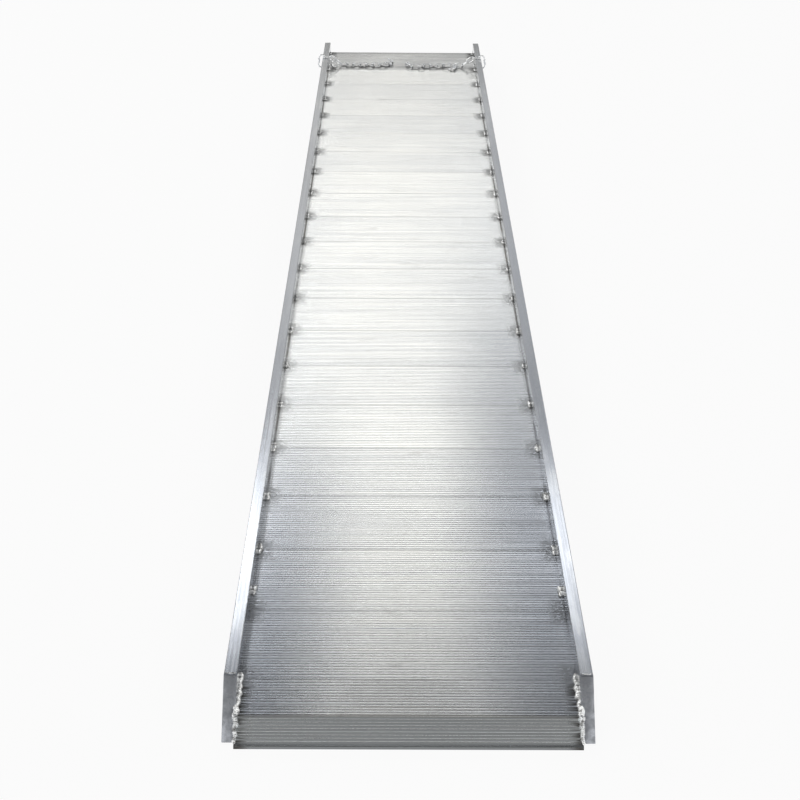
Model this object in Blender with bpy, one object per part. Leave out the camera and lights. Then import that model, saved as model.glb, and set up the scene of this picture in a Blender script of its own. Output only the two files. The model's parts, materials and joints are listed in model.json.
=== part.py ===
"""Hook style walk ramp: ribbed deck planks between two channel rails, with hooks and two safety chains.

The ramp lies flat as it does on the ground. X runs across it, Y runs up it from the toe to the hooked end,
and Z is up. The origin is at the middle of its footprint, on the ground. All sizes are in metres.
"""
import math

import bmesh
import bpy
from mathutils import Matrix, Vector

# Gap left between pieces that touch or are welded together
FIT = 0.0003

# Side rails: channels with their web inwards and both flanges outwards
RAMP_WIDTH = 0.7112
RAIL_HEIGHT = 0.0889
FLANGE_WIDTH = 0.0254
RAIL_WALL = 0.0048
TOE_CUT_FOOT = 0.030
TOE_CUT_RUN = 0.089
END_PLATE_THICKNESS = 0.0048

# Deck: cross planks with a ribbed skin on legs
CURB_HEIGHT = 0.0444
PLANK_COUNT = 19
PLANK_PITCH = 0.2032
PLANK_DEPTH = 0.0318
SKIN_THICKNESS = 0.0035
LEG_THICKNESS = 0.0032
RIB_PITCH = 0.00753
RIB_DEPTH = 0.0012

# Toe piece: a flat ribbed part, a ribbed slope down to the ground and a plain nose
TOE_FLAT = 0.095
TOE_SLOPE_RUN = 0.044
TOE_NOSE = 0.009
TOE_NOSE_TOP = 0.014
TOE_NOSE_FOOT = 0.0055
TOE_NOSE_ROUND = 0.003
TOE_THICKNESS = 0.0050

# Hooked end: a plain top plate on a cross bar, and two hooks under it
TOP_PLATE_LENGTH = 0.2584
TOP_PLATE_THICKNESS = 0.00635
CROSS_BAR_WIDTH = 0.0127
CROSS_BAR_HEIGHT = 0.0254
HOOK_SPACING = 0.460
HOOK_THICKNESS = 0.0127
HOOK_TAIL = 0.140
HOOK_REACH = 0.060
HOOK_THROAT = 0.026
HOOK_THROAT_START = 0.010
HOOK_THROAT_DEPTH = 0.021
HOOK_NOSE_TOP = 0.026
HOOK_NOSE_ROUND = 0.012
HOOK_PRONG_ROUND = 0.008

# Quick link through a hole in each rail's top flange
CHAIN_HOLE_FROM_END = 0.233
CHAIN_HOLE_DIAMETER = 0.013
CHAIN_HOLE_EDGE = 0.0103
QUICK_LINK_WIRE = 0.006
QUICK_LINK_WIDTH = 0.020
QUICK_LINK_LENGTH = 0.050
QUICK_LINK_LEAN = 8
NUT_LENGTH = 0.016
NUT_ACROSS_FLATS = 0.0105
NUT_MOUTH = 0.009

# Safety chain
CHAIN_WIRE = 0.005
LINK_INNER_LENGTH = 0.032
LINK_INNER_WIDTH = 0.014
LINK_SLACK = 0.003
FIRST_LINK_SEAT = 22

# Gap left where one wire hangs on another
HANG_GAP = 0.001

# Slip hook on each chain, measured from the wire that its eye hangs on
EYE_RADIUS = 0.007
EYE_WIRE = 0.0055
BOWL_RADIUS = 0.0145
BOWL_FORWARD = 0.031
BOWL_SIDE = 0.003
BOWL_START = 200
BOWL_END = 435
THICKEST_AT = 0.4
SHANK_DIAMETER = 0.010
BOWL_DIAMETER = 0.0116
TIP_DIAMETER = 0.006

# Sides of round wires, steps of a quarter turn of plates and a half turn of wires, and points round a nut
WIRE_SIDES = 8
BEND_STEPS = 4
NUT_POINTS = 12

# Worked out from the sizes above
HALF_CLEAR = RAMP_WIDTH / 2 - FLANGE_WIDTH
DECK_TOP = RAIL_HEIGHT - CURB_HEIGHT
TOE_SLOPE_DROP = DECK_TOP - TOE_NOSE_TOP
TOE_LENGTH = TOE_NOSE + TOE_SLOPE_RUN + TOE_FLAT
RAMP_LENGTH = TOE_LENGTH + PLANK_COUNT * PLANK_PITCH + TOP_PLATE_LENGTH
TOE_END = -(RAMP_LENGTH + HOOK_REACH) / 2
FAR_END = TOE_END + RAMP_LENGTH
CHAIN_Y = FAR_END - CHAIN_HOLE_FROM_END
HOLE_X = RAMP_WIDTH / 2 - CHAIN_HOLE_EDGE
LINK_PITCH = LINK_INNER_LENGTH - LINK_SLACK
LINK_BEND = (LINK_INNER_WIDTH + CHAIN_WIRE) / 2
QUICK_LINK_BEND = (QUICK_LINK_WIDTH + QUICK_LINK_WIRE) / 2
QUICK_LINK_X = HOLE_X + QUICK_LINK_BEND
FIRST_WIRE_HANG = (QUICK_LINK_WIDTH - CHAIN_WIRE) / 2 - HANG_GAP
FIRST_WIRE_X = QUICK_LINK_X - FIRST_WIRE_HANG * math.cos(math.radians(FIRST_LINK_SEAT))
FIRST_WIRE_Z = RAIL_HEIGHT + FIT + CHAIN_WIRE / 2
QUICK_LINK_Z = FIRST_WIRE_Z - FIRST_WIRE_HANG * math.sin(math.radians(FIRST_LINK_SEAT))

# Each link's heading in degrees (0 is straight in from its rail, plus is towards the hooked end), the height of
# its far end above the deck in millimetres, its roll about its own length in degrees, and where it hangs on the
# bend of the link before, in degrees round that bend from its tip
FLANGE_LEVEL = 1000 * (FIRST_WIRE_Z - DECK_TOP)
FIRST_STEP = 0.63 * FLANGE_LEVEL
SECOND_STEP = 0.265 * FLANGE_LEVEL
LYING = 1000 * (LINK_BEND * math.sin(math.radians(45)) + CHAIN_WIRE / 2 + FIT)
LEFT_ROUTE = [
    (0, FLANGE_LEVEL, 0, 0),
    (14, FIRST_STEP, 90, 29),
    (16, SECOND_STEP, 18, 0),
    (4, 10.6, 122, 0),
    (-4, LYING, 45, 0),
    (5, LYING, 135, 0),
    (-6, LYING, 45, 0),
    (3, LYING, 135, 0),
    (-8, LYING, 45, 0),
    (12, LYING, 135, 0),
    (42, LYING, 45, 0),
    (76, LYING, 135, 0),
    (112, LYING, 45, 0),
]
RIGHT_ROUTE = [
    (0, FLANGE_LEVEL, 0, 0),
    (6, FIRST_STEP, 90, 0),
    (8, SECOND_STEP, 0, 0),
    (4, SECOND_STEP, 89, 0),
    (7, 12.3, -7, 17),
    (-2, 11.0, 118, 0),
    (-7, LYING, 46, 0),
    (4, LYING, 135, 0),
    (-6, LYING, 45, 0),
    (-28, LYING, 135, 0),
    (10, LYING, 45, 0),
    (46, LYING, 135, 0),
    (84, LYING, 45, 0),
]

# Each slip hook: the link that it hangs on, its heading, pitch and roll in degrees, and where it hangs on that
# link's far bend, in degrees round it from its tip
LEFT_SLIP_HOOK = (1, -18, -63.4, 90, -34)
RIGHT_SLIP_HOOK = (4, -65, -1.3, -13, -28)


def clear_scene():
    """Takes away whatever the file held before."""
    for thing in list(bpy.data.objects):
        bpy.data.objects.remove(thing, do_unlink=True)


def metal(name, colour, roughness):
    """One bare metal."""
    made = bpy.data.materials.new(name)
    made.use_nodes = True
    shader = made.node_tree.nodes["Principled BSDF"]
    shader.inputs["Base Color"].default_value = (*colour, 1.0)
    shader.inputs["Metallic"].default_value = 1.0
    shader.inputs["Roughness"].default_value = roughness
    made.diffuse_color = (*colour, 1.0)
    return made


def add(name, shape, material, place=Matrix.Identity(4), smooth=False):
    """Puts a bmesh into the scene as one named object and frees it."""
    bmesh.ops.recalc_face_normals(shape, faces=shape.faces)
    mesh = bpy.data.meshes.new(name)
    shape.to_mesh(mesh)
    shape.free()
    mesh.materials.append(material)
    if smooth:
        mesh.shade_smooth()
        mesh.set_sharp_from_angle(angle=math.radians(40))
    made = bpy.data.objects.new(name, mesh)
    made.matrix_world = place
    bpy.context.collection.objects.link(made)
    return made


def helper(made):
    """Marks an object as a cutter or a joining shape that isn't part of the ramp."""
    made.hide_render = True
    made.display_type = "WIRE"
    return made


def boolean(target, tool, operation):
    """Cuts or joins one object by another."""
    change = target.modifiers.new(tool.name, "BOOLEAN")
    change.operation = operation
    change.object = tool
    change.solver = "EXACT"


def between(shape, first, second):
    """Closes two equal loops of points into a solid: a side face for each edge and a cap at each end."""
    near = [shape.verts.new(point) for point in first]
    far = [shape.verts.new(point) for point in second]
    count = len(near)
    for i in range(count):
        j = (i + 1) % count
        shape.faces.new((near[i], near[j], far[j], far[i]))
    shape.faces.new(near[::-1])
    shape.faces.new(far)
    return shape


def across(outline, low, high):
    """A solid whose outline in (y, z) runs across the ramp from x = low to x = high."""
    first = [(low, y, z) for y, z in outline]
    second = [(high, y, z) for y, z in outline]
    return between(bmesh.new(), first, second)


def ribbed(start, end):
    """Points of a ribbed top from one (y, z) to another: a crest and a groove for every rib."""
    start, end = Vector(start), Vector(end)
    run = end - start
    down = Vector((run.y, -run.x)).normalized() * RIB_DEPTH
    count = max(1, round(run.length / RIB_PITCH))
    points = []
    for i in range(count):
        points.append(start + run * (i / count))
        points.append(start + run * ((i + 0.5) / count) + down)
    points.append(end)
    return [(point.x, point.y) for point in points]


def legged_plank(low, high, top_points):
    """Outline of a plank in (y, z): the given top, then three legs hanging from a thin skin."""
    foot = DECK_TOP - PLANK_DEPTH
    skin = DECK_TOP - RIB_DEPTH - SKIN_THICKNESS
    middle = (low + high) / 2
    half_leg = LEG_THICKNESS / 2
    under = [
        (high, foot),
        (high - LEG_THICKNESS, foot),
        (high - LEG_THICKNESS, skin),
        (middle + half_leg, skin),
        (middle + half_leg, foot),
        (middle - half_leg, foot),
        (middle - half_leg, skin),
        (low + LEG_THICKNESS, skin),
        (low + LEG_THICKNESS, foot),
        (low, foot),
    ]
    return top_points + under


def deck_planks(aluminium):
    """The cross planks, numbered up the ramp from the toe."""
    half = HALF_CLEAR - FIT
    for i in range(PLANK_COUNT):
        low = TOE_END + TOE_LENGTH + i * PLANK_PITCH + FIT / 2
        high = low + PLANK_PITCH - FIT
        top = ribbed((low, DECK_TOP), (high, DECK_TOP))
        add(f"deck_plank_{i + 1:02d}", across(legged_plank(low, high, top), -half, half), aluminium)


def toe_plank(aluminium):
    """The toe: ribbed flat part on two legs, ribbed slope and plain nose, one extrusion."""
    slope_foot = TOE_END + TOE_NOSE
    bend = slope_foot + TOE_SLOPE_RUN
    back = TOE_END + TOE_LENGTH - FIT / 2
    slope = math.atan2(TOE_SLOPE_DROP, TOE_SLOPE_RUN)
    skin = DECK_TOP - RIB_DEPTH - TOE_THICKNESS
    foot = DECK_TOP - PLANK_DEPTH
    # the slope's underside lies one thickness below its grooves
    sink = (RIB_DEPTH + TOE_THICKNESS) / math.cos(slope)
    under_bend = bend + (RIB_DEPTH + TOE_THICKNESS) * math.tan(slope / 2)
    nose_back = slope_foot + (TOE_NOSE_FOOT - TOE_NOSE_TOP + sink) / math.tan(slope)
    outline = [(TOE_END, TOE_NOSE_TOP - TOE_NOSE_ROUND), (TOE_END + TOE_NOSE_ROUND, TOE_NOSE_TOP)]
    outline += ribbed((slope_foot, TOE_NOSE_TOP), (bend, DECK_TOP))
    outline += ribbed((bend, DECK_TOP), (back, DECK_TOP))[1:]
    outline += [
        (back, foot),
        (back - LEG_THICKNESS, foot),
        (back - LEG_THICKNESS, skin),
        (under_bend + LEG_THICKNESS, skin),
        (under_bend + LEG_THICKNESS, foot),
        (under_bend, foot),
        (under_bend, skin),
        (nose_back, TOE_NOSE_FOOT),
        (TOE_END + TOE_NOSE_ROUND, TOE_NOSE_FOOT),
        (TOE_END, TOE_NOSE_FOOT + TOE_NOSE_ROUND),
    ]
    half = HALF_CLEAR - FIT
    add("toe_plank", across(outline, -half, half), aluminium)


def top_plate(aluminium):
    """The plain plate at the hooked end, and the cross bar that its hooks are welded to."""
    half = HALF_CLEAR - FIT
    low = FAR_END - TOP_PLATE_LENGTH + FIT / 2
    under = DECK_TOP - TOP_PLATE_THICKNESS
    edge = TOP_PLATE_THICKNESS / 3
    outline = [
        (low, under),
        (FAR_END - edge, under),
        (FAR_END, under + edge),
        (FAR_END, DECK_TOP - edge),
        (FAR_END - edge, DECK_TOP),
        (low, DECK_TOP),
    ]
    add("top_plate", across(outline, -half, half), aluminium)
    bar_top = under - FIT
    bar_far = FAR_END - HOOK_TAIL - FIT
    bar = [
        (bar_far - CROSS_BAR_WIDTH, bar_top - CROSS_BAR_HEIGHT),
        (bar_far, bar_top - CROSS_BAR_HEIGHT),
        (bar_far, bar_top),
        (bar_far - CROSS_BAR_WIDTH, bar_top),
    ]
    add("hook_cross_bar", across(bar, -half, half), aluminium)


def ramp_hooks(aluminium):
    """Two thick plate hooks: each lies under the top plate and drops over the edge that carries the ramp."""
    top = DECK_TOP - TOP_PLATE_THICKNESS - FIT
    bar_foot = top - CROSS_BAR_HEIGHT
    tail = FAR_END - HOOK_TAIL
    tip = FAR_END + HOOK_REACH
    throat_near = FAR_END + HOOK_THROAT_START
    throat_far = throat_near + HOOK_THROAT
    round_off = HOOK_PRONG_ROUND
    outline = [(tail, bar_foot), (FAR_END - HOOK_TAIL / 2, 0.0), (throat_near, 0.0)]
    # the throat's closed end is half round
    radius = HOOK_THROAT / 2
    spring = HOOK_THROAT_DEPTH - radius
    for i in range(2 * BEND_STEPS + 1):
        turn = math.pi * i / (2 * BEND_STEPS)
        outline.append((throat_near + radius - radius * math.cos(turn), spring + radius * math.sin(turn)))
    outline += [(throat_far, round_off / 2), (throat_far + round_off / 2, 0.0)]
    outline += [(tip - round_off, 0.0), (tip, round_off)]
    # a rounded nose, then the back runs up to the plate
    nose = HOOK_NOSE_ROUND
    for i in range(BEND_STEPS + 1):
        turn = math.radians(90 * i / BEND_STEPS)
        outline.append((tip - nose + nose * math.cos(turn), HOOK_NOSE_TOP - nose + nose * math.sin(turn)))
    outline += [(FAR_END, top), (tail, top)]
    for side, sign in (("left", -1), ("right", 1)):
        middle = sign * HOOK_SPACING / 2
        low, high = middle - HOOK_THICKNESS / 2, middle + HOOK_THICKNESS / 2
        add(f"{side}_ramp_hook", across(outline, low, high), aluminium)


def side_rail(side, sign, aluminium):
    """One channel rail, cut to a slope at the toe, with a chain hole in its top flange and a plate on its slope."""
    web = HALF_CLEAR
    wall = web + RAIL_WALL
    edge = RAMP_WIDTH / 2
    section = [
        (web, 0.0),
        (edge, 0.0),
        (edge, RAIL_WALL),
        (wall, RAIL_WALL),
        (wall, RAIL_HEIGHT - RAIL_WALL),
        (edge, RAIL_HEIGHT - RAIL_WALL),
        (edge, RAIL_HEIGHT),
        (web, RAIL_HEIGHT),
    ]

    def cut(z):
        return TOE_END + TOE_CUT_FOOT + TOE_CUT_RUN * z / RAIL_HEIGHT

    first = [(sign * x, cut(z), z) for x, z in section]
    second = [(sign * x, FAR_END, z) for x, z in section]
    rail = add(f"{side}_side_rail", between(bmesh.new(), first, second), aluminium)
    drill = bmesh.new()
    bmesh.ops.create_cone(
        drill,
        cap_ends=True,
        segments=16,
        radius1=CHAIN_HOLE_DIAMETER / 2,
        radius2=CHAIN_HOLE_DIAMETER / 2,
        depth=RAIL_WALL * 3,
    )
    place = Matrix.Translation((sign * HOLE_X, CHAIN_Y, RAIL_HEIGHT - RAIL_WALL / 2))
    boolean(rail, helper(add(f"{side}_chain_hole_drill", drill, aluminium, place)), "DIFFERENCE")

    slant = math.hypot(TOE_CUT_RUN, RAIL_HEIGHT) / RAIL_HEIGHT
    back = FIT * slant
    front = back + END_PLATE_THICKNESS * slant
    plate = [
        (cut(0.0) - front, 0.0),
        (cut(0.0) - back, 0.0),
        (cut(RAIL_HEIGHT) - back, RAIL_HEIGHT),
        (cut(RAIL_HEIGHT) - front, RAIL_HEIGHT),
    ]
    low, high = sorted((sign * web, sign * edge))
    add(f"{side}_toe_end_plate", across(plate, low, high), aluminium)


def tube(path, widths, closed):
    """A round wire along a flat path of (x, y) points. Its width may change, and it is capped where it ends."""
    shape = bmesh.new()
    count = len(path)
    rings = []
    for i, (x, y) in enumerate(path):
        before = path[i - 1] if closed or i else path[i]
        after = path[(i + 1) % count] if closed or i < count - 1 else path[i]
        along = Vector((after[0] - before[0], after[1] - before[1], 0.0)).normalized()
        side = Vector((along.y, -along.x, 0.0))
        ring = []
        for k in range(WIRE_SIDES):
            turn = 2 * math.pi * (k + 0.5) / WIRE_SIDES
            offset = side * math.cos(turn) + Vector((0.0, 0.0, 1.0)) * math.sin(turn)
            ring.append(shape.verts.new(Vector((x, y, 0.0)) + offset * widths[i] / 2))
        rings.append(ring)
    for i in range(count if closed else count - 1):
        here, there = rings[i], rings[(i + 1) % count]
        for k in range(WIRE_SIDES):
            n = (k + 1) % WIRE_SIDES
            shape.faces.new((here[k], here[n], there[n], there[k]))
    if not closed:
        shape.faces.new(rings[0][::-1])
        shape.faces.new(rings[-1])
    return shape


def oval(half_length, radius, steps):
    """Points of a loop with straight sides: a half circle at each end, from its +X end round."""
    points = []
    for end in (1, -1):
        for i in range(steps + 1):
            turn = math.radians(-90 + 180 * i / steps)
            points.append((end * (half_length - radius + radius * math.cos(turn)), end * radius * math.sin(turn)))
    return points


def link_shape():
    """One chain link, its length along X and its width along Y."""
    path = oval(LINK_INNER_LENGTH / 2 + CHAIN_WIRE / 2, LINK_BEND, BEND_STEPS)
    return tube(path, [CHAIN_WIRE] * len(path), True)


def slip_hook(name, place, steel):
    """A slip hook with its eye round the place's origin, its shank along X and its bowl's mouth towards +Y."""
    centre = EYE_RADIUS - CHAIN_WIRE / 2 - HANG_GAP
    eye_bend = EYE_RADIUS + EYE_WIRE / 2
    steps = 3 * BEND_STEPS
    ring = [
        (centre + eye_bend * math.cos(2 * math.pi * i / steps), eye_bend * math.sin(2 * math.pi * i / steps))
        for i in range(steps)
    ]
    eye = add(f"{name}_eye", tube(ring, [EYE_WIRE] * steps, True), steel, place)
    path = [(centre + eye_bend, 0.0)]
    widths = [EYE_WIRE]
    count = 3 * BEND_STEPS
    for i in range(count + 1):
        part = i / count
        turn = math.radians(BOWL_START + (BOWL_END - BOWL_START) * part)
        path.append((BOWL_FORWARD + BOWL_RADIUS * math.cos(turn), BOWL_SIDE + BOWL_RADIUS * math.sin(turn)))
        if part < THICKEST_AT:
            widths.append(SHANK_DIAMETER + (BOWL_DIAMETER - SHANK_DIAMETER) * part / THICKEST_AT)
        else:
            taper = (part - THICKEST_AT) / (1 - THICKEST_AT)
            widths.append(BOWL_DIAMETER + (TIP_DIAMETER - BOWL_DIAMETER) * taper)
    body = add(name, tube(path, widths, False), steel, place, smooth=True)
    boolean(body, helper(eye), "UNION")


def quick_link(side, sign, steel):
    """The threaded link through a flange hole: an open loop, and the long nut that closes it."""
    bend = QUICK_LINK_BEND
    straight = QUICK_LINK_LENGTH - QUICK_LINK_WIDTH
    lean = math.radians(QUICK_LINK_LEAN)
    # its top bend goes over the rail's lip and hangs on the first link's wire, which lies on the rail
    centre = Vector((sign * QUICK_LINK_X, CHAIN_Y, QUICK_LINK_Z))
    down = Vector((sign * math.sin(lean), 0.0, -math.cos(lean)))
    inward = Vector((-sign * math.cos(lean), 0.0, -math.sin(lean)))
    place = Matrix.Translation(centre) @ Matrix((down, inward, down.cross(inward))).transposed().to_4x4()
    # local X runs down the link and local Y runs in towards the ramp, so the nut's side is at -Y
    mouth = straight / 2
    path = [(mouth + NUT_MOUTH / 2, -bend)]
    for i in range(BEND_STEPS * 2 + 1):
        turn = math.radians(-90 + 180 * i / (BEND_STEPS * 2))
        path.append((straight + bend * math.cos(turn), bend * math.sin(turn)))
    for i in range(BEND_STEPS * 2 + 1):
        turn = math.radians(90 + 180 * i / (BEND_STEPS * 2))
        path.append((bend * math.cos(turn), bend * math.sin(turn)))
    path.append((mouth - NUT_MOUTH / 2, -bend))
    add(f"{side}_quick_link", tube(path, [QUICK_LINK_WIRE] * len(path), False), steel, place, smooth=True)
    add(f"{side}_quick_link_nut", nut_shape(mouth, -bend), steel, place)


def nut_shape(middle, side):
    """A long hexagon nut round the quick link's mouth, bored clear of its wire."""
    shape = bmesh.new()
    flat = NUT_ACROSS_FLATS / 2
    corner = flat / math.cos(math.radians(30))
    # the bore's flat sides clear the wire
    bore = (QUICK_LINK_WIRE / 2 + FIT) / math.cos(math.pi / NUT_POINTS)
    rings = []
    for end in (-1, 1):
        for outer in (True, False):
            ring = []
            for i in range(NUT_POINTS):
                turn = 2 * math.pi * i / NUT_POINTS
                reach = (flat if i % 2 else corner) if outer else bore
                x = middle + end * NUT_LENGTH / 2
                ring.append(shape.verts.new((x, side + reach * math.cos(turn), reach * math.sin(turn))))
            rings.append(ring)
    near_outer, near_inner, far_outer, far_inner = rings
    for first, second in (
        (near_outer, far_outer),
        (far_inner, near_inner),
        (near_inner, near_outer),
        (far_outer, far_inner),
    ):
        for i in range(NUT_POINTS):
            j = (i + 1) % NUT_POINTS
            shape.faces.new((first[i], first[j], second[j], second[i]))
    return shape


def heading_frame(start, sign, heading, pitch, roll):
    """Place of a piece whose X runs along a heading, turned by its roll about that heading."""
    heading, pitch, roll = (math.radians(angle) for angle in (heading, pitch, roll))
    along = Vector((math.cos(heading) * math.cos(pitch), math.sin(heading) * math.cos(pitch), math.sin(pitch)))
    level = Vector((-math.sin(heading), math.cos(heading), 0.0))
    width = level * math.cos(roll) + along.cross(level) * math.sin(roll)
    # the right side is the left side seen in a mirror
    along.x *= -sign
    width.x *= -sign
    return Matrix.Translation(start) @ Matrix((along, width, along.cross(width))).transposed().to_4x4()


def on_bend(reach, turn):
    """A point in a link's own frame, at a distance along it and some degrees round its far bend from the tip."""
    turn = math.radians(turn)
    return Vector((reach - LINK_BEND * (1 - math.cos(turn)), LINK_BEND * math.sin(turn), 0.0))


def chain(side, sign, route, hook, steel):
    """One safety chain from its rail inwards, each link turning about the point where it meets the one before."""
    # the first link goes round the quick link's inner side and lies on the rail
    reach = (LINK_INNER_LENGTH + CHAIN_WIRE - LINK_PITCH) / 2
    outer = Vector((sign * (FIRST_WIRE_X - reach), CHAIN_Y, FIRST_WIRE_Z))
    place = heading_frame(outer + Vector((sign * LINK_PITCH, 0.0, 0.0)), sign, 0, 0, 0)
    hook_link, heading, pitch, roll, hook_turn = hook
    for number, (link_heading, height, link_roll, link_turn) in enumerate(route, 1):
        start = place @ on_bend(LINK_PITCH, link_turn)
        rise = DECK_TOP + height / 1000 - start.z
        link_pitch = math.degrees(math.asin(rise / LINK_PITCH))
        place = heading_frame(start, sign, link_heading, link_pitch, link_roll)
        shape = link_shape()
        bmesh.ops.translate(shape, verts=shape.verts, vec=(LINK_PITCH / 2, 0.0, 0.0))
        add(f"{side}_chain_link_{number:02d}", shape, steel, place, smooth=True)
        if number == hook_link:
            wire = place @ on_bend(LINK_PITCH + reach, hook_turn)
            slip_hook(f"{side}_slip_hook", heading_frame(wire, sign, heading, pitch, roll), steel)


def build():
    """The whole ramp."""
    clear_scene()
    aluminium = metal("mill_aluminium", (0.79, 0.80, 0.80), 0.38)
    edge_aluminium = metal("rail_aluminium", (0.70, 0.72, 0.74), 0.32)
    zinc = metal("zinc_steel", (0.74, 0.76, 0.78), 0.24)
    deck_planks(aluminium)
    toe_plank(aluminium)
    top_plate(aluminium)
    ramp_hooks(edge_aluminium)
    for side, sign, route, hook in (
        ("left", -1, LEFT_ROUTE, LEFT_SLIP_HOOK),
        ("right", 1, RIGHT_ROUTE, RIGHT_SLIP_HOOK),
    ):
        side_rail(side, sign, edge_aluminium)
        quick_link(side, sign, zinc)
        chain(side, sign, route, hook, zinc)


build()
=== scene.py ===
import json
import math

import bmesh
import bpy
import numpy as np
from mathutils import Matrix, Vector

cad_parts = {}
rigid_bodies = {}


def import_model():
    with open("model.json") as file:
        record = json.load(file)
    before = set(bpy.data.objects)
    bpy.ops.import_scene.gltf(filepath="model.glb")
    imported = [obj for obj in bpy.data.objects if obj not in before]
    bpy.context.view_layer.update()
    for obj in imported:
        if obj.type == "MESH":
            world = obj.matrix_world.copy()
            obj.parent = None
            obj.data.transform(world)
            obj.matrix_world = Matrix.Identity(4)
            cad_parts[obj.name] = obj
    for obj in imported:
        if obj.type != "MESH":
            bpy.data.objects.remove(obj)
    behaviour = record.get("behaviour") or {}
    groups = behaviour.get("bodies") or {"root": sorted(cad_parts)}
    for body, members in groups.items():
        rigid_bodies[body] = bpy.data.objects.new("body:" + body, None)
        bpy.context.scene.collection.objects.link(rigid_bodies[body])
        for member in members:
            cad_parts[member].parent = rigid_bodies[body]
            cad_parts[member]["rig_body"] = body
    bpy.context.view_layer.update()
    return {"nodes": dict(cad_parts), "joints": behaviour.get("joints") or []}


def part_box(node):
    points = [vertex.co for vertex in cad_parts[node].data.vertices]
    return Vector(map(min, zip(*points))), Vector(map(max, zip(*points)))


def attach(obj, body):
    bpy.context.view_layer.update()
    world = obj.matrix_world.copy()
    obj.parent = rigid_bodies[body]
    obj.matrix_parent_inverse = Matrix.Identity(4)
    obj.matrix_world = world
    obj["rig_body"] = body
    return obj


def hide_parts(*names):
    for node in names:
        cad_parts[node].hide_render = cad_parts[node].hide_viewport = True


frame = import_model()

bl_info = {
    "name": "Hook style walk ramp",
    "version": (1, 0, 0),
    "blender": (4, 5, 0),
    "location": "View3D > Sidebar > Walk ramp",
    "description": "Finished pieces, metals and studio for an aluminium walk ramp with safety chains",
    "category": "Object",
}

SIDES = (("left", -1.0), ("right", 1.0))
STATIC_BODY = "ramp"
PLANK_NODES = sorted(name for name in frame["nodes"] if name.startswith("deck_plank_"))
LINK_NODES = sorted(name for name in frame["nodes"] if "_chain_link_" in name)

# Corners of the frame's own pieces, in metres
PLANK_LOW, PLANK_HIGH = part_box(PLANK_NODES[0])
TOE_LOW, TOE_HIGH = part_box("toe_plank")
RAIL_LOW, RAIL_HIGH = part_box("right_side_rail")
END_PLATE_LOW, END_PLATE_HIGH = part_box("right_toe_end_plate")
TOP_LOW, TOP_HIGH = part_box("top_plate")
BAR_LOW, BAR_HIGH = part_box("hook_cross_bar")

DECK_TOP = PLANK_HIGH.z
WEB_FACE = RAIL_LOW.x
PLANK_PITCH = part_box(PLANK_NODES[1])[0].y - PLANK_LOW.y
FIRST_JOINT = (TOE_HIGH.y + PLANK_LOW.y) / 2
JOINTS = FIRST_JOINT + PLANK_PITCH * np.arange(len(PLANK_NODES) + 1)
CHAIN_ROW = float(np.mean([sum(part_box(name), Vector()).y / 2 for name in LINK_NODES]))


def hinge_point(name):
    """Where a joint of the frame turns, in metres."""
    for joint in frame["joints"]:
        if joint["name"] == name:
            return np.array(joint["pos_m"], float)
    raise ValueError(f"the frame has no joint named {name}")


def number(name, description, default, **kind):
    """A property for one number that is never negative."""
    return bpy.props.FloatProperty(name=name, description=description, default=default, min=0.0, **kind)


def length(name, description, default):
    """A property for a size in metres."""
    return number(name, description, default, unit="LENGTH")


def share(name, description, default):
    """A property for a share."""
    return number(name, description, default, subtype="FACTOR")


def angle(name, description, degrees):
    """A property for an angle, its default given in degrees."""
    return bpy.props.FloatProperty(
        name=name, description=description, default=math.radians(degrees), subtype="ANGLE"
    )


def colour(name, description, default):
    """A property for a colour."""
    return bpy.props.FloatVectorProperty(
        name=name, description=description, default=default, size=3, min=0.0, soft_max=1.0, subtype="COLOR"
    )


def place(name, description, default):
    """A property for a place in metres."""
    return bpy.props.FloatVectorProperty(name=name, description=description, default=default, subtype="XYZ")


def group(name, description, kind):
    """A property that holds another group of settings."""
    return bpy.props.PointerProperty(name=name, description=description, type=kind)


class DeckSettings(bpy.types.PropertyGroup):
    """Ribbed planks, toe and top plate."""

    rib_pitch: length("Rib pitch", "Distance between two ribs of the tread", 0.00753)
    toe_rib_pitch: length("Toe rib pitch", "Distance between two ribs of the toe's slope", 0.0059)
    rib_depth: length("Rib depth", "Depth of the grooves between ribs", 0.00022)
    rib_points: bpy.props.IntProperty(name="Rib points", description="Points over one rib", default=16, min=4)
    groove_sharpness: share("Groove sharpness", "How narrow a groove is beside its rib", 14.0)
    seam_round: length("Seam round", "Rounding of a plank's edge at its seam", 0.0006)
    leg: length("Leg thickness", "Thickness of a plank's legs", 0.0032)
    skin: length("Skin thickness", "Thickness of a plank under its grooves", 0.0035)
    toe_skin: length("Toe thickness", "Thickness of the toe under its grooves", 0.005)
    toe_flat: length("Toe flat", "Length of the toe's level part", 0.095)
    toe_nose: length("Toe nose", "Length of the toe's plain nose", 0.009)
    toe_nose_top: length("Toe nose top", "Height of the plain nose over the ground", 0.014)
    toe_round: length("Toe round", "Rounding of the toe's front edge", 0.003)
    plate_round: length("Plate round", "Rounding of the top plate's edges", 0.0012)
    joint_round: length("Joint round", "Rounding of the top plate's edge that is welded on", 0.0003)
    bar_round: length("Bar round", "Rounding of the cross bar's edges", 0.0008)
    light_metal: colour("Light metal", "Clean mill finish", (0.86, 0.86, 0.84))
    dull_metal_and_painted_shade: colour("Dull metal", "Mill finish in its streaks", (0.76, 0.765, 0.76))
    soot: colour("Soot", "Soot round the welds", (0.06, 0.056, 0.05))


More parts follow.
